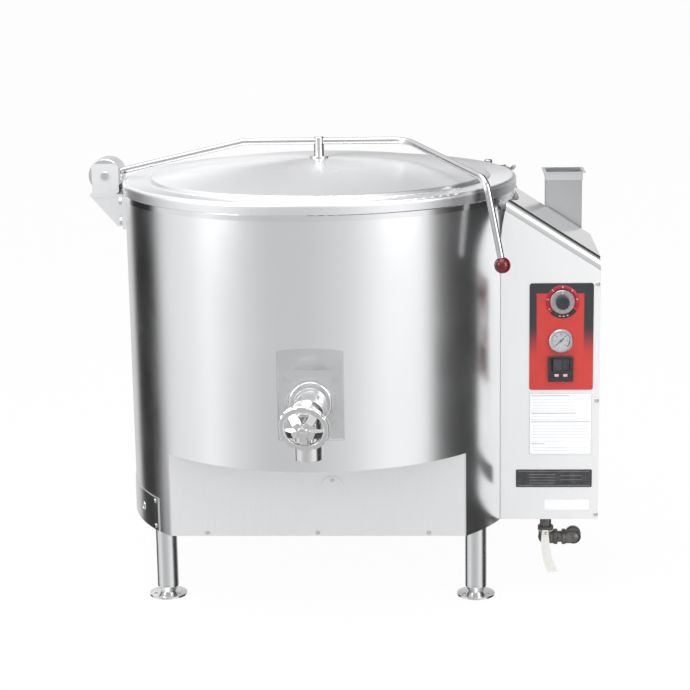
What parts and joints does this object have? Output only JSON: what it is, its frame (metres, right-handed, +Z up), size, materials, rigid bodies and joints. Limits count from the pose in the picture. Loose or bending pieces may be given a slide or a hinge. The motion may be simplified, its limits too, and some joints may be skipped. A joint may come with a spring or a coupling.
{
  "type": "steam jacketed kettle",
  "caption": "Gas-fired stationary steam jacketed kettle on bolt-down legs, with a hinged domed lid, draw-off valve, control box, flue and fittings.",
  "frame": {"origin": "on the floor, on the vertical axis of the kettle bowl", "axes": "+Z up, -Y towards the operator (draw-off valve), +X towards the control box"},
  "size_m": [1.19, 1.0452, 1.055],
  "materials": {
    "polished_stainless": "satin, circular polish",
    "brushed_stainless": "vertical brushed grain",
    "satin_sheet": "satin sheet",
    "cast_steel": "polished casting",
    "bright_steel": "bright plated",
    "jacket_steel": "mill finish",
    "glass_wool": "fibrous blanket",
    "black_iron": "dull",
    "pipe_iron": "banded malleable iron",
    "aluminised_sheet": "dull sheet",
    "nickel_brass": "nickel-plated, dulled",
    "red_phenolic": "gloss",
    "black_plastic": "moulded",
    "white_plastic": "satin",
    "lens_glass": "clear",
    "red_lamp": "translucent moulded",
    "dark_plate": "anodised, bare",
    "printed_plate": "printed sheet, bare"
  },
  "bodies": {
    "frame": {"base_pan": "satin_sheet", "burner": "black_iron", "burner_manifold": "black_iron", "combustion_chamber": "jacket_steel", "control_box": "satin_sheet", "control_box_back": "satin_sheet", "control_box_cover": "satin_sheet", "control_panel_plate": "printed_plate", "draw_off_plate": "satin_sheet", "draw_off_tube": "cast_steel", "flue_collar": "aluminised_sheet", "flue_duct": "aluminised_sheet", "front_panel": "satin_sheet", "gas_elbows": "pipe_iron", "gas_nipples": "pipe_iron", "gas_valve": "aluminised_sheet", "gauge_case": "bright_steel", "gauge_face": "white_plastic", "gauge_lens": "lens_glass", "hang_tag": "white_plastic", "hex_bolts": "bright_steel", "hinge_bracket": "cast_steel", "hinge_housing": "cast_steel", "hinge_pin": "bright_steel", "hinge_spring": "bright_steel", "indicator_lamps": "red_lamp", "inner_kettle": "polished_stainless", "insulation": "glass_wool", "kettle_rim": "polished_stainless", "label_plates": "white_plastic", "legs": "cast_steel", "outer_shell": "brushed_stainless", "panel_screws": "bright_steel", "rating_plate": "dark_plate", "safety_valve": "nickel_brass", "side_access_cover": "brushed_stainless", "steam_jacket": "jacket_steel", "steam_pipes": "black_iron", "switch_housing": "black_plastic", "thermostat_body": "black_plastic", "valve_body": "cast_steel", "valve_bonnet": "bright_steel", "vent_valve": "nickel_brass"},
    "lid": {"lid": "polished_stainless", "lid_post": "bright_steel", "lid_arm": "bright_steel", "lid_knob": "red_phenolic", "hinge_drum": "cast_steel"},
    "disc": {"valve_disc": "bright_steel"},
    "wheel": {"valve_stem": "bright_steel", "handwheel": "cast_steel", "handwheel_nut": "bright_steel"},
    "dial": {"thermostat_dial": "black_plastic"},
    "needle": {"gauge_needle": "black_plastic"},
    "rocker": {"switch_rocker": "black_plastic"},
    "sight_cover": {"sight_cover": "satin_sheet"},
    "lever": {"safety_valve_lever": "nickel_brass"},
    "foot_front_left": {"foot_front_left": "cast_steel"},
    "foot_front_right": {"foot_front_right": "cast_steel"},
    "foot_rear": {"foot_rear": "cast_steel"}
  },
  "joints": [
    {"name": "lid_hinge", "type": "hinge", "parent": "frame", "child": "lid", "pos_m": [-0.503, 0, 0.972], "axis": [0, -1, 0], "range_deg": [0, 95], "stiffness_Nm_per_rad": 24, "springref_deg": 95},
    {"name": "valve_lift", "type": "slide", "parent": "frame", "child": "disc", "axis": [-0.0829, -0.9474, -0.309], "range_m": [0, 0.016]},
    {"name": "handwheel_spin", "type": "hinge", "parent": "disc", "child": "wheel", "pos_m": [-0.00829, -0.54174, 0.49555], "axis": [-0.0829, -0.9474, -0.309], "range_deg": [0, 1440]},
    {"name": "thermostat_turn", "type": "hinge", "parent": "frame", "child": "dial", "pos_m": [0.5615, -0.18, 0.6924], "axis": [0, 1, 0], "range_deg": [0, 270]},
    {"name": "gauge_needle_turn", "type": "hinge", "parent": "frame", "child": "needle", "pos_m": [0.5586, -0.18, 0.602], "axis": [0, 1, 0], "range_deg": [0, 270]},
    {"name": "switch_rock", "type": "hinge", "parent": "frame", "child": "rocker", "pos_m": [0.5583, -0.1825, 0.547], "axis": [0, 0, -1], "range_deg": [0, 16]},
    {"name": "sight_cover_swing", "type": "hinge", "parent": "frame", "child": "sight_cover", "pos_m": [0.035, -0.307, 0.3076], "axis": [0, -1, 0], "range_deg": [-120, 120]},
    {"name": "lever_lift", "type": "hinge", "parent": "frame", "child": "lever", "pos_m": [0.43808, 0.24539, 0.948], "axis": [-0.8829, -0.4695, 0], "range_deg": [0, 35]},
    {"name": "foot_front_left_adjust", "type": "slide", "parent": "frame", "child": "foot_front_left", "axis": [0, 0, -1], "range_m": [0, 0.03]},
    {"name": "foot_front_right_adjust", "type": "slide", "parent": "frame", "child": "foot_front_right", "axis": [0, 0, -1], "range_m": [0, 0.03]},
    {"name": "foot_rear_adjust", "type": "slide", "parent": "frame", "child": "foot_rear", "axis": [0, 0, -1], "range_m": [0, 0.03]}
  ],
  "couplings": [
    {"joint": "valve_lift", "follows": "handwheel_spin", "m_per_rad": 0.00063662}
  ]
}
